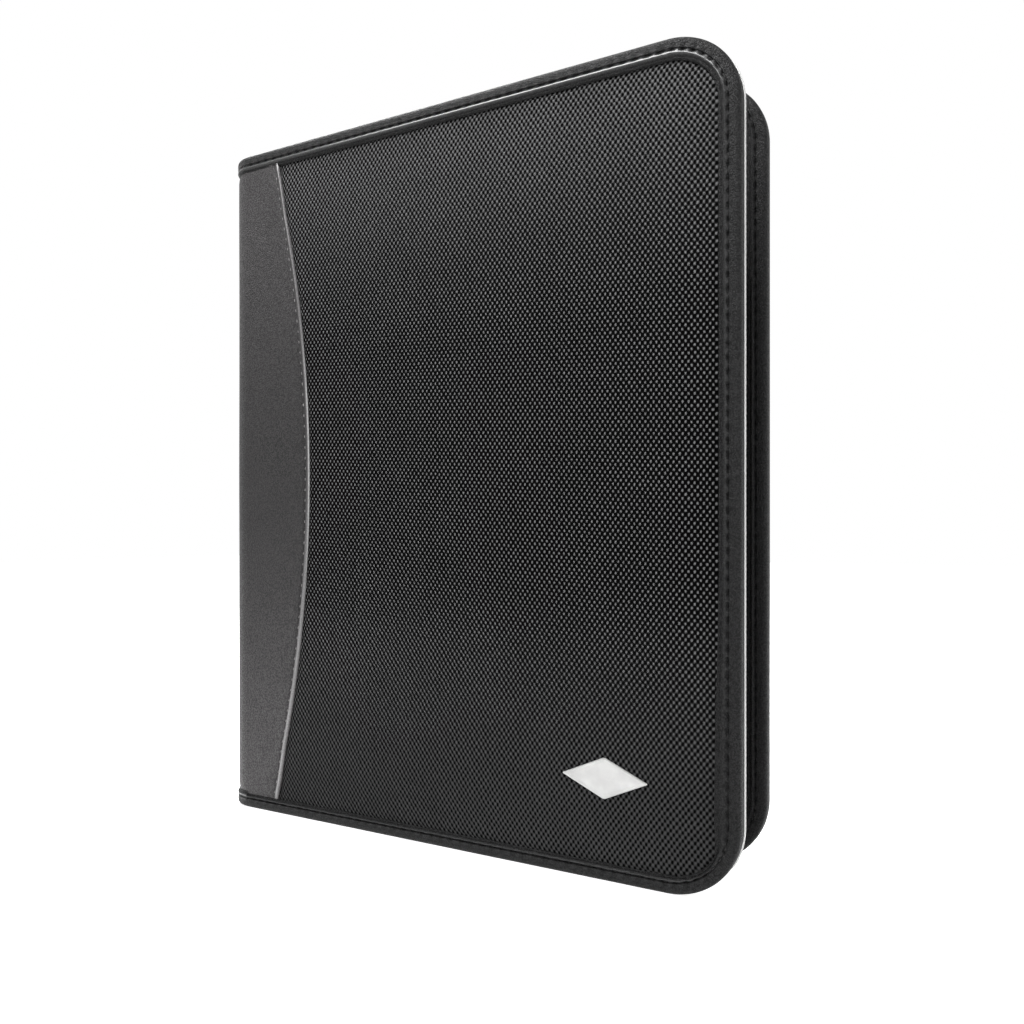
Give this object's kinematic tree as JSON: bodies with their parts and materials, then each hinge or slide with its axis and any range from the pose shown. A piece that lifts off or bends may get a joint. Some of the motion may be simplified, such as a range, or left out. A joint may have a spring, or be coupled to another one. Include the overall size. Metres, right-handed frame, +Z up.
{
  "type": "tablet organizer",
  "caption": "Upright padded folding organizer case with stitched edge binding, grey curved spine panel, bare diamond plate, inner tablet holder, pockets and writing pad.",
  "frame": {"origin": "centre of the closed case at the level it stands on", "axes": "+Z up along the spine, -Y out of the front cover, -X towards the spine, +X towards the open edge"},
  "size_m": [0.2214, 0.04, 0.275],
  "materials": {
    "nylon": "woven nylon over foam",
    "leather": "stitched binding and pockets, satin",
    "grey": "fine-grained grey sheet",
    "welt": "pale flexible edge strip",
    "metal": "satin plate",
    "board": "stiff greyboard",
    "foam": "soft padding",
    "lining": "woven lining",
    "plastic": "moulded, fine texture",
    "rubber": "soft ribbed pads",
    "steel": "bright",
    "paper": "ruled writing paper",
    "card": "pad backing board",
    "tape": "cloth binding tape",
    "elastic": "woven elastic"
  },
  "bodies": {
    "spine": {"spine_board": "board", "spine_foam": "foam", "spine_wrap": "grey", "spine_lining": "lining", "spine_binding_bottom": "leather", "spine_binding_top": "leather"},
    "front_cover": {"front_cover_board": "board", "front_cover_foam": "foam", "front_cover_panel": "nylon", "front_cover_lining": "lining", "front_cover_spine_wrap": "grey", "front_cover_binding": "leather", "front_cover_welt": "welt", "diamond_plate": "metal", "mount_plate": "plastic", "swivel_ring": "plastic", "mount_rivet_1": "steel", "mount_rivet_2": "steel", "mount_rivet_3": "steel", "mount_rivet_4": "steel", "ring_screw_1": "steel", "ring_screw_2": "steel", "ring_screw_3": "steel", "ring_screw_4": "steel"},
    "rear_cover": {"rear_cover_board": "board", "rear_cover_foam": "foam", "rear_cover_panel": "nylon", "rear_cover_lining": "lining", "rear_cover_spine_wrap": "grey", "rear_cover_binding": "leather", "document_pocket": "leather", "card_pocket_1": "leather", "card_pocket_2": "leather", "card_pocket_3": "leather", "pen_loop": "elastic"},
    "holder": {"swivel_rotor": "plastic", "holder_housing": "plastic", "holder_lid": "plastic", "pinion_spring": "steel", "holder_screw_1": "steel", "holder_screw_2": "steel", "holder_screw_3": "steel", "holder_screw_4": "steel"},
    "pinion": {"pinion": "plastic"},
    "upper_jaw": {"upper_jaw": "plastic", "upper_grip_left": "rubber", "upper_grip_right": "rubber"},
    "lower_jaw": {"lower_jaw": "plastic", "lower_grip_left": "rubber", "lower_grip_right": "rubber"},
    "pad": {"pad_back": "card", "pad_sheets": "paper", "pad_tape": "tape"}
  },
  "joints": [
    {"name": "front_cover_hinge", "type": "hinge", "parent": "spine", "child": "front_cover", "pos_m": [-0.10577, -0.01507, 0.1375], "axis": [0, 0, -1], "range_deg": [0, 90], "deforming": ["spine_foam", "spine_wrap", "spine_lining", "spine_binding_bottom", "spine_binding_top"]},
    {"name": "rear_cover_hinge", "type": "hinge", "parent": "spine", "child": "rear_cover", "pos_m": [-0.10577, 0.01507, 0.1375], "axis": [0, 0, 1], "range_deg": [0, 90], "deforming": ["spine_foam", "spine_wrap", "spine_lining", "spine_binding_bottom", "spine_binding_top"]},
    {"name": "holder_swivel", "type": "hinge", "parent": "front_cover", "child": "holder", "pos_m": [0.0043, -0.011, 0.1375], "axis": [0, -1, 0], "continuous": true},
    {"name": "upper_jaw_slide", "type": "slide", "parent": "holder", "child": "upper_jaw", "axis": [0, 0, 1], "range_m": [0, 0.05299], "stiffness_N_per_m": 60, "springref_m": -0.05},
    {"name": "lower_jaw_slide", "type": "slide", "parent": "holder", "child": "lower_jaw", "axis": [0, 0, -1], "range_m": [0, 0.05299]},
    {"name": "pinion_turn", "type": "hinge", "parent": "holder", "child": "pinion", "pos_m": [0.0043, -0.008, 0.1375], "axis": [0, -1, 0], "range_deg": [0, 337.83], "deforming": ["pinion_spring"]},
    {"name": "pad_slide", "type": "slide", "parent": "rear_cover", "child": "pad", "axis": [0, 0, 1], "range_m": [0, 0.045]}
  ],
  "couplings": [
    {"joint": "lower_jaw_slide", "follows": "upper_jaw_slide", "ratio": 1},
    {"joint": "pinion_turn", "follows": "upper_jaw_slide", "rad_per_m": 111.11}
  ]
}
